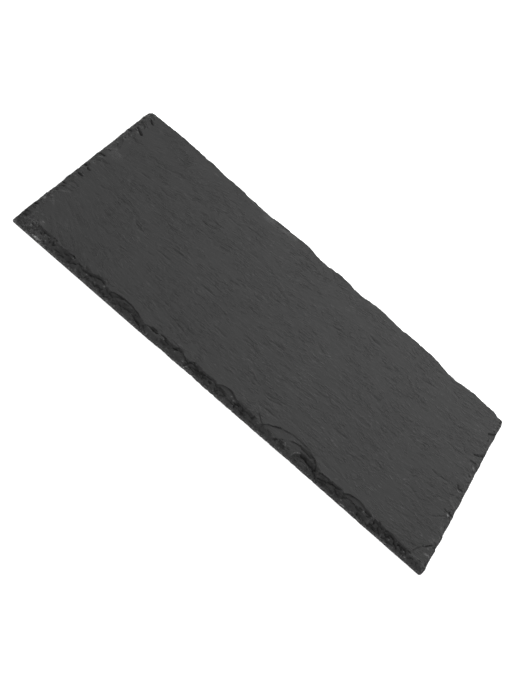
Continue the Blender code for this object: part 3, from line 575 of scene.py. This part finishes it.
def pale_and_painted_light(x, y, z):
    """How much lighter the stone is made at a point: the listed bruises and flecks, the broad patches of painted light
    among them, and many small flecks from a seeded generator.
    """
    rng = np.random.default_rng(91)
    near = [(a, b, long * 0.8, wide * 0.72, turn, strong * 0.85) for a, b, long, wide, turn, strong in PALE_AND_PAINTED_LIGHT_NEAR]
    for _ in range(420):
        size = rng.uniform(0.18, 0.36)
        up = 3.2 * rng.uniform() ** 1.6 + (4.2 * rng.uniform() if rng.uniform() < 0.25 else 0.0)
        near.append((rng.uniform(-149.0, 149.5), up, size * rng.uniform(1.0, 1.8), size, rng.uniform(-40, 40), 0.06 + 0.5 * rng.uniform() ** 3.0))
    for _ in range(110):
        size = rng.uniform(0.2, 0.45)
        near.append((rng.uniform(-149.0, -124.0), 7.5 * rng.uniform(), size * rng.uniform(1.0, 1.8), size, rng.uniform(-40, 40), 0.08 + 0.45 * rng.uniform() ** 2.5))
    top = list(PALE_AND_PAINTED_LIGHT_TOP)
    for side, inner in ((-1, 5.0), (1, 5.5)):
        for _ in range(150):
            size = rng.uniform(0.25, 0.5)
            d = 1.6 + inner * rng.uniform() ** 1.8
            top.append((side * (LENGTH / 2 - d), rng.uniform(-73.0, 73.0), size * rng.uniform(1.0, 1.8), size, rng.uniform(-60, 60), 0.05 + 0.35 * rng.uniform() ** 2.0))
    for _ in range(140):
        size = rng.uniform(0.22, 0.42)
        d = 1.2 + 6.0 * rng.uniform() ** 1.3
        top.append((-LENGTH / 2 + d, rng.uniform(34.0, 73.0), size * rng.uniform(1.0, 1.8), size, rng.uniform(-60, 60), 0.06 + 0.40 * rng.uniform() ** 2.0))
    for _ in range(520):
        size = rng.uniform(0.28, 0.5)
        top.append((rng.uniform(-146.0, 146.0), rng.uniform(-69.0, 70.0), size * rng.uniform(1.0, 3.0), size, rng.normal(2.0, 18.0), 0.02 + 0.16 * rng.uniform() ** 3.0))
    total = np.zeros(len(x))

    def spread(across, spots, allowed):
        order = np.flatnonzero(allowed)
        order = order[np.argsort(x[order])]
        sorted_x = x[order]
        for cx, cy, long, wide, turn, strength in spots:
            reach = 2.0 * max(long, wide)
            here = order[np.searchsorted(sorted_x, cx - reach) : np.searchsorted(sorted_x, cx + reach)]
            c, s = math.cos(math.radians(turn)), math.sin(math.radians(turn))
            u = (x[here] - cx) * c + (across[here] - cy) * s
            v = -(x[here] - cx) * s + (across[here] - cy) * c
            total[here] = np.maximum(total[here], strength * np.exp(-(((u / long) ** 2 + (v / wide) ** 2) ** 1.5)))

    up_edge = 0.69 * (y + WIDTH / 2) + 0.72 * z
    spread(up_edge, near, (y < -WIDTH / 2 + 11.0) & (z < THICKNESS + 0.1) & (up_edge < 10.5))
    spread(y, top, z > 1.5)
    return total


def height(x, y):
    """How high the stone stands over a point of its outline."""
    shape = np.shape(x)
    x, y = np.ravel(x), np.ravel(y)
    z = np.full(len(x), THICKNESS)
    cut = np.zeros(len(x))
    # How much nearer the outline a point is than its distance from the straight sides says, at the worn corners.
    turned = np.zeros(len(x))
    for corner, (cx, cy) in {"NL": (-1, -1), "NR": (1, -1), "FL": (-1, 1), "FR": (1, 1)}.items():
        radius = ROUND[corner]
        from_x, from_y = LENGTH / 2 - cx * x, WIDTH / 2 - cy * y
        inside = (from_x < radius) & (from_y < radius)
        arc = radius - np.hypot(radius - from_x, radius - from_y)
        turned = np.where(inside, np.minimum(from_x, from_y) - arc, turned)
    for side, (s, d) in from_edges(x, y).items():
        near = np.flatnonzero(d < 17.0)
        s, d = s[near], d[near]
        cut[near] = np.maximum(cut[near], chips(s, d, side))
        bent_s = s + 0.35 * facets(s / 3.0, d / 3.0, 3 + ord(side)) + 0.15 * ripple(s / 1.2, d / 1.2, 4 + ord(side))
        bent_d = d + 0.22 * facets(s / 2.6, d / 2.6, 5 + ord(side)) + 0.12 * facets(s / 0.9, d / 0.9, 9 + ord(side)) - turned[near]
        here = bevel(bent_s, bent_d, side)
        for one in SCARS[side]:
            here = np.minimum(here, scar(bent_s, bent_d, *one))
        z[near] = np.minimum(z[near], here)
    under = THICKNESS - z
    rubble = smooth((-126.0 - x) / 8.0) * smooth((-62.0 - y) / 3.0)
    depth = smooth((under - 0.35) / 1.3)
    calm = np.zeros(len(x))
    for middle, half in CALM:
        calm = np.maximum(calm, np.exp(-(((x - middle) / half) ** 4)))
    calm = calm * smooth((-WIDTH / 2 + 14.0 - y) / 2.0)
    # Flat angular facets on the break, then cleavage steps in patches, then crumbs.
    rough = z + depth * (1.0 - 0.75 * calm) * (0.28 * facets(x / 4.4, y / 2.0, 41) + 0.10 * facets(x / 2.2, y / 0.8, 42) + rubble * 0.44 * facets(x / 1.5, y / 1.1, 46))
    patch = smooth(0.1 + 2.4 * ripple(x / 9.0, y / 7.0, 43))
    thin = ripple(x / 14.0, y / 14.0, 44) > 0.0
    layered = np.where(thin, steps(rough, 0.62, 0.20), steps(rough, 0.95, 0.18))
    z = rough + (layered - rough) * 0.85 * patch * depth * (1.0 - 0.8 * calm)
    z = z - cut * depth * (1.0 - 0.7 * calm) * (0.5 + 0.5 * smooth((3.4 - z) / 1.5) + rubble)
    line = ripple(x / 7.0, (y + 0.8 * z) / 1.5, 47)
    lines = np.exp(-((line / 0.19) ** 2)) * smooth(0.35 + 2.0 * ripple(x / 9.0, y / 5.0, 48)) * smooth((THICKNESS - 0.8 - z) / 0.5)
    z = z - 1.35 * (1.0 - 0.8 * calm) * lines * smooth((17.0 - np.minimum(y + WIDTH / 2, 17.0)) / 4.0) * (1.0 - 0.6 * rubble)
    low_strip = smooth((3.2 - z) / 1.4)
    z = z + smooth((under - 0.15) / 0.5) * (0.04 + 0.12 * low_strip + 0.16 * rubble) * facets(x / 0.95, y / 0.6, 45)
    top = THICKNESS - cleft(x, y)
    margin = smooth((-LENGTH / 2 + 5.5 - x) / 3.5) * (smooth((y - 38.0) / 8.0) + 0.6 * smooth((-22.0 - y) / 8.0) + 0.25)
    top = top - margin * (0.34 + 0.46 * facets(x / 1.1, y / 1.0, 49) + 0.22 * facets(x / 2.6, y / 1.6, 50))
    z = np.minimum(z, top) - gashes(x, y)
    return np.clip(z, 0.45, THICKNESS).reshape(shape)


# ---------------------------------------------------------------- mesh


def outline():
    """The lower outline, anticlockwise from the near left corner, with each point's partner on the inner rectangle."""
    half_l, half_w = LENGTH / 2, WIDTH / 2
    within = {"NL": ("L", "N"), "NR": ("R", "N"), "FR": ("R", "F"), "FL": ("L", "F")}
    corners = [(-1, -1, "NL"), (1, -1, "NR"), (1, 1, "FR"), (-1, 1, "FL")]
    outer, inner, counts = [], [], []
    for k, side in enumerate("NRFL"):
        ax, ay, start = corners[k]
        bx, by, end = corners[(k + 1) % 4]
        long = np.hypot(half_l * (bx - ax), half_w * (by - ay))
        count = int(round(long / STEP[side]))
        share = np.arange(count) / count
        x = half_l * (ax + (bx - ax) * share)
        y = half_w * (ay + (by - ay) * share)
        along = share * long
        back = long - along
        wander = RAGGED * (0.35 + 0.65 * ripple(along / 5.0, 0.5, 11 + k)) + 0.16 * ripple(along / 2.1, 7.5, 51 + k)
        wander = wander + 0.16 * np.clip(facets(along / 1.3, 0.5, 31 + k), 0.0, 1.0) * (0.4 + 0.6 * (side == "N"))
        wander = np.clip(wander, 0.0, RAGGED + 0.16)
        rng = np.random.default_rng(31 + k)
        for _ in range(int(long / (5.5 if side == "N" else 9.0))):
            at, wide, deep = rng.uniform(3.0, long - 3.0), rng.uniform(0.6, 1.9), rng.uniform(0.12, 0.5)
            skewed = np.where(along < at, (at - along) / wide, (along - at) / (wide * rng.uniform(0.3, 1.0)))
            wander = np.maximum(wander, deep * np.clip(1.0 - skewed, 0.0, 1.0))
        by_length = side in "NF"
        worn = np.zeros(count)
        slide = np.zeros(count)
        for gone, corner, way in ((along, CORNER[start], 1.0), (back, CORNER[end], -1.0)):
            mine, other = corner if by_length else corner[::-1]
            turn = math.pi / 4 * np.clip(1.0 - gone / mine, 0.0, 1.0)
            worn = worn + other * (1.0 - np.cos(turn))
            slide = slide + way * np.where(turn > 0.0, mine * (1.0 - np.sin(turn)) - gone, 0.0)
        places, insets = zip(*INSET[side])
        from_low = -long / 2 + along if side in "NR" else long / 2 - along
        eased = smooth(along / (2.0 * max(CORNER[start]))) * smooth(back / (2.0 * max(CORNER[end])))
        inwards = worn + (wander + np.interp(from_low, places, insets)) * eased - PROUD[side]
        inwards = np.maximum(inwards, 0.02)
        x = x - inwards * (ax + bx) / 2 + slide * (bx - ax) / 2
        y = y - inwards * (ay + by) / 2 + slide * (by - ay) / 2
        outer.append(np.stack([x, y], 1))
        from_x, from_y = ax * (half_l - DEEP[within[start][0]]), ay * (half_w - DEEP[within[start][1]])
        to_x, to_y = bx * (half_l - DEEP[within[end][0]]), by * (half_w - DEEP[within[end][1]])
        inner.append(np.stack([from_x + (to_x - from_x) * share, from_y + (to_y - from_y) * share], 1))
        counts.append(count)
    return np.concatenate(outer), np.concatenate(inner), counts


def arris(outer, inner):
    """How far in, as a share of the way to the inner ring, each column meets the untouched top."""
    n = 70
    steps_in = np.linspace(0.0, 1.0, n)
    x = outer[:, :1] + (inner[:, :1] - outer[:, :1]) * steps_in
    y = outer[:, 1:] + (inner[:, 1:] - outer[:, 1:]) * steps_in
    top = THICKNESS - cleft(x.ravel(), y.ravel()).reshape(x.shape)
    broken = height(x, y) < top - 0.10
    last = n - 1 - np.argmax(broken[:, ::-1], axis=1)
    found = np.clip(np.where(broken.any(axis=1), last, 1) + 1, 4, int(0.86 * n)) / (n - 1)
    # Neighbouring columns share their rows, so the arris is followed by its local maximum, lightly eased.
    wide = np.maximum.reduce([np.roll(found, k) for k in (-1, 0, 1)])
    return (np.roll(wide, 1) + 2 * wide + np.roll(wide, -1)) / 4


class Builder:
    def __init__(self):
        self.points, self.faces = [], []
        self.count = 0

    def add(self, x, y, z):
        first = self.count
        self.points.append(np.stack([x, y, z], 1))
        self.count += len(x)
        return np.arange(first, self.count)

    def strip(self, low, high):
        """Quads between two closed rings of the same length."""
        nxt = np.roll(np.arange(len(low)), -1)
        self.faces += np.stack([low, low[nxt], high[nxt], high], 1).tolist()

    def zipper(self, ring, ring_xy, border, border_xy):
        """Triangles between a closed outer ring and a closed inner one, side by side, whichever lags going first."""
        i, j, a, b = 0, 0, ring, border
        while i < len(a) - 1 or j < len(b) - 1:
            go_a = j == len(b) - 1 or (i < len(a) - 1 and ring_xy[i + 1] <= border_xy[j + 1])
            if go_a:
                self.faces.append([a[i], a[i + 1], b[j]])
                i += 1
            else:
                self.faces.append([a[i], b[j + 1], b[j]])
                j += 1


def spaced(low, high, step_at):
    """Places from low to high, with a spacing that step_at gives for each place."""
    fine = np.linspace(low, high, 4001)
    places, sizes = zip(*step_at)
    gone = np.concatenate([[0.0], np.cumsum(np.diff(fine) / np.interp(fine[:-1], places, sizes))])
    return np.interp(np.linspace(0.0, gone[-1], int(round(gone[-1])) + 1), gone, fine)


def open_face(build, ring, counts, step_x, step_y, z_of, inset):
    """The open middle of a face: a grid, joined to the ring round it."""
    low_x, high_x = -LENGTH / 2 + DEEP["L"] + inset, LENGTH / 2 - DEEP["R"] - inset
    low_y, high_y = -WIDTH / 2 + DEEP["N"] + inset, WIDTH / 2 - DEEP["F"] - inset
    line_x = spaced(low_x, high_x, step_x)
    line_y = spaced(low_y, high_y, step_y)
    gx, gy = np.meshgrid(line_x, line_y, indexing="ij")
    grid = build.add(gx.ravel(), gy.ravel(), z_of(gx.ravel(), gy.ravel())).reshape(gx.shape)
    a, b, c, d = grid[:-1, :-1], grid[1:, :-1], grid[1:, 1:], grid[:-1, 1:]
    # The diagonals rise to the right, as the grain does.
    build.faces += np.stack([a, b, c], -1).reshape(-1, 3).tolist()
    build.faces += np.stack([a, c, d], -1).reshape(-1, 3).tolist()
    borders = [(grid[:, 0], line_x), (grid[-1, :], line_y), (grid[::-1, -1], line_x[::-1]), (grid[0, ::-1], line_y[::-1])]
    start = 0
    for count, (edge, line) in zip(counts, borders):
        ids = [ring[(start + k) % len(ring)] for k in range(count + 1)]
        share = np.arange(count + 1) / count
        build.zipper(ids, share.tolist(), edge.tolist(), ((line - line[0]) / (line[-1] - line[0])).tolist())
        start += count


def build_slab():
    outer, inner, counts = outline()
    ox, oy = outer[:, 0], outer[:, 1]
    way = inner - outer
    far = np.linalg.norm(way, axis=1)
    reach = arris(outer, inner)
    build = Builder()

    # The wall rises from the lower outline to the rim, leaning in, its face broken in small facets.
    sides = np.repeat(list("NRFL"), counts)
    along = np.where((sides == "N") | (sides == "F"), ox, oy)
    lean, rim = np.zeros(len(ox)), np.zeros(len(ox))
    for side in "NRFL":
        mine = sides == side
        lean[mine], rim[mine] = wall_lean(along[mine], side), rim_height(along[mine], side)
    lean = np.clip(lean, 0.08, 1.7)
    head = outer + way * (lean / far)[:, None]
    rim_z = height(head[:, 0], head[:, 1])
    foot = build.add(ox, oy, np.zeros(len(ox)))
    rings = [foot]
    turn = np.cumsum(np.hypot(*(np.roll(outer, -1, 0) - outer).T))
    for k in range(1, WALL_ROWS):
        share = k / WALL_ROWS
        z = rim_z * share
        bulge = 0.20 * facets(turn / 1.5, z / 0.9, 91) + 0.12 * facets(turn / 0.7, z / 0.5, 92)
        inward = np.clip(lean * share**1.3 + (bulge + 0.05) * math.sin(math.pi * share), 0.0, 2.0)
        here = outer + way * (inward / far)[:, None]
        rings.append(build.add(here[:, 0], here[:, 1], z))
    # Rows over the dressed band, then over the border of the top.
    begin = lean / far
    for k in range(BAND_ROWS + 1):
        share = begin + (reach - begin) * (1.0 - (1.0 - k / BAND_ROWS) ** 1.35)
        here = outer + way * share[:, None]
        rings.append(build.add(here[:, 0], here[:, 1], rim_z if k == 0 else height(here[:, 0], here[:, 1])))
    for k in range(1, BORDER_ROWS + 1):
        share = reach + (1.0 - reach) * (k / BORDER_ROWS)
        here = outer + way * share[:, None]
        rings.append(build.add(here[:, 0], here[:, 1], height(here[:, 0], here[:, 1])))
    for low_ring, high_ring in zip(rings, rings[1:]):
        build.strip(low_ring, high_ring)
    open_face(build, rings[-1], counts, TOP_X, TOP_Y, height, 0.7)

    # The underside: the other face of the same split, its relief all above the surface that it rests on.
    def under(x, y):
        g, h, _ = grain_lines(x, -y)
        d = np.minimum(LENGTH / 2 - np.abs(x), WIDTH / 2 - np.abs(y))
        relief = 0.06 + 0.05 * ripple(x / 60.0, y / 30.0, 81) + 0.05 * ripple(g / 28.0, h / 8.0, 82)
        return np.clip(relief, 0.0, 0.25) * smooth(d / 8.0)

    flipped = Builder()
    flipped.count = build.count
    below = [foot]
    for share in (0.15, 1.0):
        here = outer + way * share
        below.append(flipped.add(here[:, 0], here[:, 1], under(here[:, 0], here[:, 1])))
    for low_ring, high_ring in zip(below, below[1:]):
        flipped.strip(low_ring, high_ring)
    open_face(flipped, below[-1], counts, ((-150, UNDER_CELL[0]), (150, UNDER_CELL[0])), ((-75, UNDER_CELL[1]), (75, UNDER_CELL[1])), under, 1.5)

    points = np.concatenate(build.points + flipped.points) * MM
    faces = build.faces + [f[::-1] for f in flipped.faces]
    mesh = bpy.data.meshes.new("slate_stone")
    mesh.from_pydata(points.tolist(), [], faces)
    mesh.validate()
    # Lighter flecks and bruises, with the broad patches of painted light, kept on the points for the material.
    pale_and_painted_light_values = pale_and_painted_light(*(points / MM).T)
    mesh.attributes.new("pale_and_painted_light", "FLOAT", "POINT").data.foreach_set("value", pale_and_painted_light_values.astype(np.float32))
    mesh.update()
    mesh.shade_smooth()
    mesh.set_sharp_from_angle(angle=math.radians(24))
    mesh.calc_loop_triangles()
    print("slate_stone triangles:", len(mesh.loop_triangles))
    return mesh


# ---------------------------------------------------------------- material


class Nodes:
    """Small helpers, so that the material below reads as what it does."""

    def __init__(self, material):
        material.use_nodes = True
        self.tree = material.node_tree
        self.shader = self.tree.nodes["Principled BSDF"]

    def node(self, kind, **settings):
        made = self.tree.nodes.new(kind)
        for key, value in settings.items():
            setattr(made, key, value)
        return made

    def put(self, socket, value):
        if isinstance(value, (int, float, tuple)):
            socket.default_value = value
        else:
            self.tree.links.new(value, socket)

    def math(self, operation, *values, clamp=False):
        made = self.node("ShaderNodeMath", operation=operation, use_clamp=clamp)
        for socket, value in zip(made.inputs, values):
            self.put(socket, value)
        return made.outputs[0]

    def join(self, x, y, z):
        made = self.node("ShaderNodeCombineXYZ")
        for socket, value in zip(made.inputs, (x, y, z)):
            self.put(socket, value)
        return made.outputs[0]

    def noise(self, vector, scale, detail=2.0, rough=0.5):
        made = self.node("ShaderNodeTexNoise", noise_dimensions="3D")
        self.put(made.inputs["Vector"], vector)
        self.put(made.inputs["Scale"], scale)
        self.put(made.inputs["Detail"], detail)
        self.put(made.inputs["Roughness"], rough)
        return made.outputs[0]

    def between(self, value, a, b, out_a=0.0, out_b=1.0, smooth_step=True):
        made = self.node("ShaderNodeMapRange", interpolation_type="SMOOTHSTEP" if smooth_step else "LINEAR")
        for name, v in (("Value", value), ("From Min", a), ("From Max", b), ("To Min", out_a), ("To Max", out_b)):
            self.put(made.inputs[name], v)
        return made.outputs[0]


def slate_material():
    material = bpy.data.materials.new("slate_cleft")
    n = Nodes(material)
    coords = n.node("ShaderNodeTexCoord").outputs["Object"]
    split = n.node("ShaderNodeSeparateXYZ")
    n.put(split.inputs[0], coords)
    x, y, z = (n.math("MULTIPLY", split.outputs[k], 1000.0) for k in range(3))

    # Along and across the grain, as in grain_lines().
    left = n.math("LOGARITHM", n.math("ADD", n.math("EXPONENT", n.math("DIVIDE", n.math("SUBTRACT", -92.0, x), 8.0)), 1.0), math.e)
    turn = n.math("LOGARITHM", n.math("ADD", n.math("EXPONENT", n.math("DIVIDE", n.math("SUBTRACT", x, 60.0), 15.0)), 1.0), math.e)
    going = n.math("MULTIPLY_ADD", turn, -15.0, x)
    spread = n.math("EXPONENT", n.math("MULTIPLY_ADD", going, -0.0027, n.math("MULTIPLY", left, 0.09)))
    wave = n.math("SINE", n.math("DIVIDE", n.math("SUBTRACT", x, 22.0), 16.55))
    run = n.math("MULTIPLY_ADD", going, 0.16, n.math("MULTIPLY", wave, 1.3))
    across = n.math("SUBTRACT", n.math("MULTIPLY", n.math("SUBTRACT", y, 5.0), spread), run)
    grain = n.join(n.math("MULTIPLY", x, 1.0 / 2.4), n.math("MULTIPLY", across, 1.0 / 0.85), n.math("MULTIPLY", z, 1.0 / 2.0))
    grain_long = n.join(n.math("MULTIPLY", x, 1.0 / 9.0), n.math("MULTIPLY", across, 1.0 / 3.0), n.math("MULTIPLY", z, 1.0 / 2.0))
    plain = n.join(x, y, z)

    streak = n.noise(grain, 1.0, 3.0, 0.6)
    long_streak = n.noise(grain_long, 1.0, 2.0, 0.5)
    mottle = n.noise(plain, 0.045, 3.0, 0.5)
    dust = n.noise(n.join(n.math("MULTIPLY", x, 0.75), n.math("MULTIPLY", y, 1.4), n.math("MULTIPLY", z, 1.7)), 1.0, 2.0, 0.6)
    fine = n.noise(plain, 2.6, 2.0, 0.6)
    grit = n.noise(plain, 1.9, 1.0, 0.5)

    # The broken band, by depth under the top, and its lower part, where the break is most sugary.
    broken = n.between(z, THICKNESS - 1.05, THICKNESS - 0.60, 1.0, 0.0)
    low_part = n.between(z, 1.8, 3.6, 1.0, 0.0)

    # Colour: one neutral grey, a little lighter or darker along the grain.
    tone = n.math("MULTIPLY_ADD", n.math("SUBTRACT", streak, 0.5), 0.18, 1.0)
    tone = n.math("MULTIPLY", tone, n.math("MULTIPLY_ADD", n.math("SUBTRACT", long_streak, 0.5), 0.16, 1.0))
    tone = n.math("MULTIPLY", tone, n.math("MULTIPLY_ADD", n.math("SUBTRACT", mottle, 0.5), 0.16, 1.0))
    crumbs = n.math("MULTIPLY", n.between(dust, 0.62, 0.68), n.math("MULTIPLY", broken, n.math("MULTIPLY_ADD", low_part, 1.4, 0.4)))
    tone = n.math("MULTIPLY", tone, n.math("MULTIPLY_ADD", broken, 0.10, 1.0))
    tone = n.math("ADD", tone, crumbs)
    foot = n.math("MULTIPLY", n.between(z, 0.3, 2.3, 1.0, 0.0), n.between(y, -WIDTH / 2 + 5.0, -WIDTH / 2 + 7.0, 1.0, 0.0))
    tone = n.math("ADD", tone, n.math("MULTIPLY", foot, n.between(grit, 0.52, 0.61, 0.0, 5.0)))
    # Dark specks over the broken band, more of them low down: painted shade, standing for the shade in small pits.
    painted_pit_shade = n.math("MULTIPLY", n.between(dust, 0.36, 0.46, 1.0, 0.0), n.math("MULTIPLY", broken, n.math("MULTIPLY_ADD", low_part, 0.45, 0.2)))
    tone = n.math("MULTIPLY", tone, n.math("SUBTRACT", 1.0, painted_pit_shade))
    specks = n.between(fine, 0.69, 0.75, 0.0, 1.1)
    tone = n.math("ADD", tone, specks)
    bend = n.math("MULTIPLY_ADD", n.math("SUBTRACT", n.noise(plain, 0.11, 2.0, 0.6), 0.5), 5.0, across)
    # Thin lighter lines along the grain, in patches: painted highlights on the lips of thin flakes.
    painted_lip_highlights = n.noise(n.join(n.math("MULTIPLY", x, 1.0 / 4.2), n.math("MULTIPLY", bend, 1.0 / 0.62), n.math("MULTIPLY_ADD", z, 0.25, 47.0)), 1.0, 1.0, 0.5)
    painted_lip_highlight_patches = n.between(n.noise(plain, 0.085, 1.0, 0.5), 0.42, 0.58, 0.06, 1.0)
    tone = n.math("ADD", tone, n.math("MULTIPLY", painted_lip_highlight_patches, n.between(painted_lip_highlights, 0.655, 0.71, 0.0, 1.15)))
    # Small bright specks all over the stone: painted glints.
    painted_glints = n.between(n.noise(n.join(x, y, n.math("ADD", z, 61.0)), 1.25, 1.0, 0.5), 0.71, 0.76, 0.0, 1.3)
    tone = n.math("ADD", tone, painted_glints)
    # Lighter flecks and bruises from the mesh, and among them broad patches of painted light over the near left
    # corner's shaded riser and band and on the far rim.
    pale_and_painted_light_fac = n.node("ShaderNodeAttribute", attribute_type="GEOMETRY", attribute_name="pale_and_painted_light").outputs["Fac"]
    tone = n.math("ADD", tone, n.math("MULTIPLY", pale_and_painted_light_fac, n.between(grit, 0.42, 0.58, 2.0, 11.0)))
    value = n.math("MULTIPLY", tone, 0.0170)
    colour = n.node("ShaderNodeCombineColor")
    for k in range(3):
        n.put(colour.inputs[k], value)
    n.put(n.shader.inputs["Base Color"], colour.outputs[0])

    rough = n.math("MULTIPLY_ADD", n.math("SUBTRACT", streak, 0.5), 0.10, 0.60)
    rough = n.math("ADD", rough, n.math("MULTIPLY", broken, 0.08))
    n.put(n.shader.inputs["Roughness"], rough)
    n.shader.inputs["Specular IOR Level"].default_value = 0.210
    n.shader.inputs["IOR"].default_value = 1.5

    # Relief too fine for the mesh: the edges of thin flakes on the cleft, drawn out along the grain and thicker in patches, and a
    # sugary break on the edges.

    def flakes(long, wide, offset, levels, ramp):
        field = n.noise(n.join(n.math("MULTIPLY", x, 1.0 / long), n.math("MULTIPLY", bend, 1.0 / wide), n.math("MULTIPLY_ADD", z, 0.25, offset)), 1.0, 1.0, 0.5)
        total = 0.0
        for level in levels:
            total = n.math("ADD", total, n.between(field, level, level + ramp))
        return total

    def patches(long, wide, offset, start, full):
        field = n.noise(n.join(n.math("MULTIPLY", x, 1.0 / long), n.math("MULTIPLY", y, 1.0 / wide), offset), 1.0, 1.0, 0.5)
        return n.between(field, start, full)

    broad = patches(24.0, 14.0, 3.0, 0.36, 0.60)
    layers = [
        n.math("MULTIPLY", flakes(7.0, 1.5, 7.0, (0.44, 0.56), 0.05), n.math("MULTIPLY", patches(6.5, 4.5, 13.0, 0.49, 0.55), 0.56)),
        n.math("MULTIPLY", flakes(3.0, 0.9, 17.0, (0.50,), 0.07), n.math("MULTIPLY", patches(5.0, 3.5, 23.0, 0.49, 0.56), 0.58)),
        n.math("MULTIPLY", flakes(1.7, 0.9, 27.0, (0.54,), 0.08), n.math("MULTIPLY", patches(6.0, 4.5, 33.0, 0.50, 0.57), 0.52)),
    ]
    thin_flakes = n.math("ADD", n.math("ADD", layers[0], layers[1]), layers[2])
    thin_flakes = n.math("MULTIPLY", thin_flakes, n.math("MULTIPLY_ADD", broad, 1.0, 0.25))
    thin_flakes = n.math("MULTIPLY", thin_flakes, n.between(x, -138.0, -112.0, 0.5, 1.15))
    top_relief = n.math("ADD", thin_flakes, n.math("MULTIPLY", fine, 0.10))
    edge_relief = n.math("MULTIPLY_ADD", dust, 0.8, n.math("MULTIPLY", grit, 0.7))
    mix = n.node("ShaderNodeMix", data_type="FLOAT")
    n.put(mix.inputs[0], broken)
    n.put(mix.inputs[2], top_relief)
    n.put(mix.inputs[3], edge_relief)
    bump = n.node("ShaderNodeBump")
    bump.inputs["Strength"].default_value = 1.0
    bump.inputs["Distance"].default_value = 0.00018
    n.put(bump.inputs["Height"], mix.outputs[0])
    n.put(n.shader.inputs["Normal"], bump.outputs[0])
    return material


# ---------------------------------------------------------------- the piece

stone = bpy.data.objects.new("slate_stone", build_slab())
stone.data.materials.append(slate_material())
bpy.context.scene.collection.objects.link(stone)
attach(stone, "root")
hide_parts("slate_slab")
slab_material = stone.data.materials[0]


# ---------------------------------------------------------------- floor, light and camera


def floor():
    mesh = bpy.data.meshes.new("floor")
    r, drop = 3.0, -0.0002
    mesh.from_pydata([(-r, -r, drop), (r, -r, drop), (r, r, drop), (-r, r, drop)], [], [(0, 1, 2, 3)])
    made = bpy.data.objects.new("floor", mesh)
    material = bpy.data.materials.new("floor_white")
    material.use_nodes = True
    shader = material.node_tree.nodes["Principled BSDF"]
    shader.inputs["Base Color"].default_value = (0.93, 0.93, 0.93, 1.0)
    shader.inputs["Roughness"].default_value = 0.9
    shader.inputs["Specular IOR Level"].default_value = 0.2
    # A light table: the glow keeps the sheet white up to the stone.
    shader.inputs["Emission Color"].default_value = (1.0, 1.0, 1.0, 1.0)
    shader.inputs["Emission Strength"].default_value = 0.32
    mesh.materials.append(material)
    bpy.context.scene.collection.objects.link(made)


def area(name, place, aim, size, power):
    lamp = bpy.data.lights.new(name, "AREA")
    lamp.shape = "RECTANGLE"
    lamp.size, lamp.size_y = size
    lamp.energy = power
    made = bpy.data.objects.new(name, lamp)
    made.location = place
    made.rotation_euler = (Vector(aim) - Vector(place)).to_track_quat("-Z", "Y").to_euler()
    bpy.context.scene.collection.objects.link(made)
    return made


def camera():
    """Straight on to the flaked long edge, looking down at 43.6 degrees, rolled 42.1 degrees."""
    pitch, roll, yaw = math.radians(43.594), math.radians(42.14), math.radians(1.48)
    forward = Vector((math.sin(yaw) * math.cos(pitch), math.cos(yaw) * math.cos(pitch), -math.sin(pitch)))
    right = Vector((math.cos(yaw), -math.sin(yaw), 0.0))
    up = right.cross(forward)
    r2 = right * math.cos(roll) + up * math.sin(roll)
    u2 = up * math.cos(roll) - right * math.sin(roll)
    data = bpy.data.cameras.new("camera")
    data.sensor_width = 36.0
    data.sensor_fit = "AUTO"
    data.lens = 1264.0 * 36.0 / 688.0
    data.clip_start, data.clip_end = 0.01, 20.0
    made = bpy.data.objects.new("camera", data)
    turned = Matrix((r2, u2, -forward)).transposed().to_4x4()
    made.matrix_world = Matrix.Translation((-0.0161, -0.5546, 0.5093)) @ turned
    bpy.context.scene.collection.objects.link(made)
    bpy.context.scene.camera = made


floor()
area("back_box", (0.0, 1.0, 0.6), (0.0, 0.0, 0.0), (0.5, 0.5), 2.50)
area("back_right_box", (0.40, 0.92, 0.58), (0.0, 0.0, 0.0), (0.5, 0.5), 2.40)
area("left_box", (-1.1, 0.0, 0.9), (0.0, 0.0, 0.0), (0.6, 0.6), 4.6)
area("right_box", (1.1, 0.0, 0.9), (0.0, 0.0, 0.0), (0.6, 0.6), 2.4)
world = bpy.data.worlds.new("studio")
world.use_nodes = True
world.node_tree.nodes["Background"].inputs[0].default_value = (1.0, 1.0, 1.0, 1.0)
world.node_tree.nodes["Background"].inputs[1].default_value = 1.0
bpy.context.scene.world = world
bpy.context.scene.view_settings.view_transform = "Standard"
bpy.context.scene.view_settings.look = "None"
camera()
